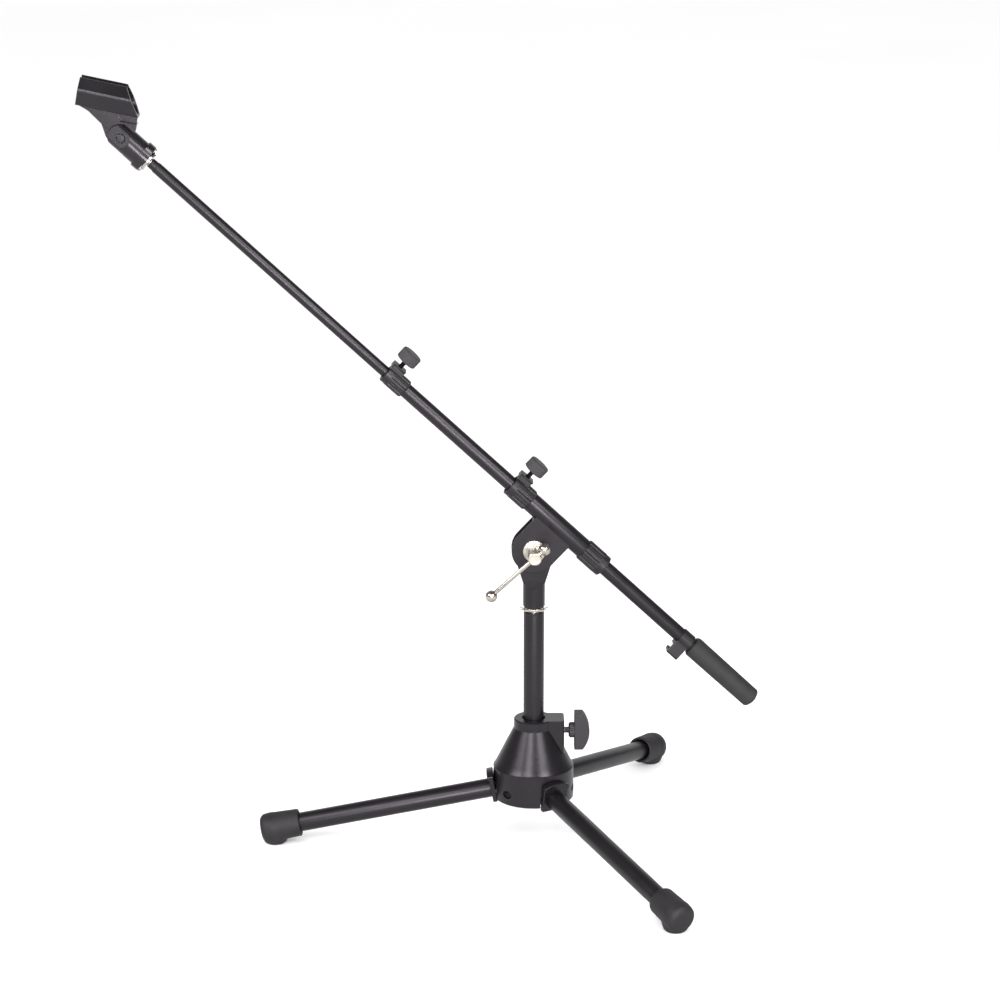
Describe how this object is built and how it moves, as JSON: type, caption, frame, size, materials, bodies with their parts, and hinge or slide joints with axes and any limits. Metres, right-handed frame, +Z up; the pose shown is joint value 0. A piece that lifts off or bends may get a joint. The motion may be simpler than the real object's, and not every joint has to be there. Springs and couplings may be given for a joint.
{
  "type": "boom microphone stand",
  "caption": "Low floor stand for a microphone: cast base with folding legs, short column, tilting clutch and a telescopic boom with a spring-grip microphone clip.",
  "frame": {"origin": "where the column's axis meets the floor", "axes": "+Z up along the column; the boom lies in the XZ plane with its microphone end towards -X; +Y is away from the clutch's tommy bar"},
  "size_m": [0.7145, 0.5222, 0.8423],
  "materials": {
    "casting": "satin black die casting",
    "powder_coat": "fine black powder coat",
    "plated": "polished nickel",
    "zinc": "zinc-plated steel",
    "black_bolt": "blackened steel",
    "collar_plastic": "black moulded plastic",
    "knob_plastic": "black moulded plastic, fine ribs",
    "wing_plastic": "black moulded plastic",
    "clip_plastic": "semi-matt black flexible plastic",
    "bush_plastic": "black sliding plastic",
    "feet_rubber": "black rubber",
    "grip_rubber": "dark grey rubber",
    "brass": "turned brass",
    "fibre": "dark friction lining",
    "core_steel": "plain steel bar"
  },
  "bodies": {
    "base": {"hub_casting": "casting", "bore_bush": "bush_plastic", "bore_cap": "bush_plastic", "clamp_pad": "bush_plastic", "leg_bolt_1": "black_bolt", "leg_bolt_2": "black_bolt", "leg_bolt_3": "black_bolt"},
    "leg_1": {"leg_fitting_1": "casting", "leg_tube_1": "powder_coat", "foot_cap_1": "feet_rubber"},
    "leg_2": {"leg_fitting_2": "casting", "leg_tube_2": "powder_coat", "foot_cap_2": "feet_rubber"},
    "leg_3": {"leg_fitting_3": "casting", "leg_tube_3": "powder_coat", "foot_cap_3": "feet_rubber"},
    "wing_screw": {"wing_knob": "wing_plastic", "wing_stud": "zinc"},
    "column": {"column_tube": "powder_coat", "column_stud": "zinc"},
    "column_nut": {"column_lock_nut": "plated"},
    "swivel": {"clutch_socket": "casting", "friction_disc_front": "fibre", "friction_disc_rear": "fibre"},
    "boom": {"boom_bracket": "powder_coat", "outer_tube": "powder_coat", "front_collar": "collar_plastic", "rear_collar": "collar_plastic", "front_bush": "bush_plastic", "rear_bush": "bush_plastic", "front_nut_plate": "plated", "clutch_washer": "plated", "clutch_nut": "zinc"},
    "clutch_screw": {"clutch_screw": "plated"},
    "tommy_bar": {"tommy_rod": "plated", "bar_ball_far": "plated", "bar_ball_near": "plated"},
    "middle_section": {"middle_tube": "powder_coat", "middle_collar": "collar_plastic", "middle_bush": "bush_plastic", "middle_nut_plate": "plated", "rubber_grip": "grip_rubber", "counterweight_core": "core_steel"},
    "front_thumbscrew": {"front_screw_stud": "black_bolt", "front_screw_knob": "knob_plastic"},
    "middle_thumbscrew": {"middle_screw_stud": "black_bolt", "middle_screw_knob": "knob_plastic"},
    "cable_clip": {"cable_clip": "collar_plastic"},
    "thin_section": {"thin_tube": "powder_coat", "thin_tube_plug": "bush_plastic", "mic_stud": "zinc"},
    "mic_nut": {"mic_lock_nut": "plated"},
    "clip_fork": {"clip_base": "collar_plastic", "thread_insert": "brass", "clip_pivot_screw": "plated", "clip_pivot_nut": "zinc"},
    "mic_clip": {"mic_clip": "clip_plastic"}
  },
  "joints": [
    {"name": "leg_fold_1", "type": "hinge", "parent": "base", "child": "leg_1", "pos_m": [-0.029, 0, 0.066], "axis": [0, -1, 0], "range_deg": [0, 79]},
    {"name": "leg_fold_2", "type": "hinge", "parent": "base", "child": "leg_2", "pos_m": [0.0145, -0.02511, 0.066], "axis": [0.866, 0.5, 0], "range_deg": [0, 79]},
    {"name": "leg_fold_3", "type": "hinge", "parent": "base", "child": "leg_3", "pos_m": [0.0145, 0.02511, 0.066], "axis": [-0.866, 0.5, 0], "range_deg": [0, 79]},
    {"name": "wing_turn", "type": "hinge", "parent": "base", "child": "wing_screw", "pos_m": [0.041, 0, 0.129], "axis": [1, 0, 0], "continuous": true},
    {"name": "column_height", "type": "slide", "parent": "base", "child": "column", "axis": [0, 0, 1], "range_m": [0, 0.04]},
    {"name": "column_nut_turn", "type": "hinge", "parent": "column", "child": "column_nut", "pos_m": [0, 0, 0.267], "axis": [0, 0, 1], "continuous": true},
    {"name": "swivel_turn", "type": "hinge", "parent": "column", "child": "swivel", "pos_m": [0, 0, 0.28], "axis": [0, 0, 1], "continuous": true},
    {"name": "boom_tilt", "type": "hinge", "parent": "swivel", "child": "boom", "pos_m": [0, 0, 0.334], "axis": [0, 1, 0], "range_deg": [-63, 20]},
    {"name": "clutch_screw_turn", "type": "hinge", "parent": "boom", "child": "clutch_screw", "pos_m": [0, -0.03, 0.334], "axis": [0, 1, 0], "continuous": true},
    {"name": "tommy_bar_slide", "type": "slide", "parent": "clutch_screw", "child": "tommy_bar", "axis": [0.7373, 0, 0.6756], "range_m": [0, 0.048]},
    {"name": "boom_length", "type": "slide", "parent": "boom", "child": "middle_section", "axis": [-0.7325, 0, 0.6807], "range_m": [-0.02, 0.085]},
    {"name": "front_reach", "type": "slide", "parent": "middle_section", "child": "thin_section", "axis": [-0.7325, 0, 0.6807], "range_m": [-0.25, 0.04]},
    {"name": "front_screw_turn", "type": "hinge", "parent": "boom", "child": "front_thumbscrew", "pos_m": [0.00127, 0, 0.42292], "axis": [0.6807, 0, 0.7325], "continuous": true},
    {"name": "middle_screw_turn", "type": "hinge", "parent": "middle_section", "child": "middle_thumbscrew", "pos_m": [-0.13263, 0, 0.54325], "axis": [0.6807, 0, 0.7325], "continuous": true},
    {"name": "cable_clip_slide", "type": "slide", "parent": "middle_section", "child": "cable_clip", "axis": [-0.7325, 0, 0.6807], "range_m": [0, 0.02]},
    {"name": "mic_nut_turn", "type": "hinge", "parent": "thin_section", "child": "mic_nut", "pos_m": [-0.3989, 0, 0.75383], "axis": [-0.7325, 0, 0.6807], "continuous": true},
    {"name": "clip_turn", "type": "hinge", "parent": "thin_section", "child": "clip_fork", "pos_m": [-0.40769, 0, 0.762], "axis": [-0.7325, 0, 0.6807], "continuous": true},
    {"name": "clip_tilt", "type": "hinge", "parent": "clip_fork", "child": "mic_clip", "pos_m": [-0.42564, 0, 0.77868], "axis": [0, 1, 0], "range_deg": [-95, 30]}
  ]
}
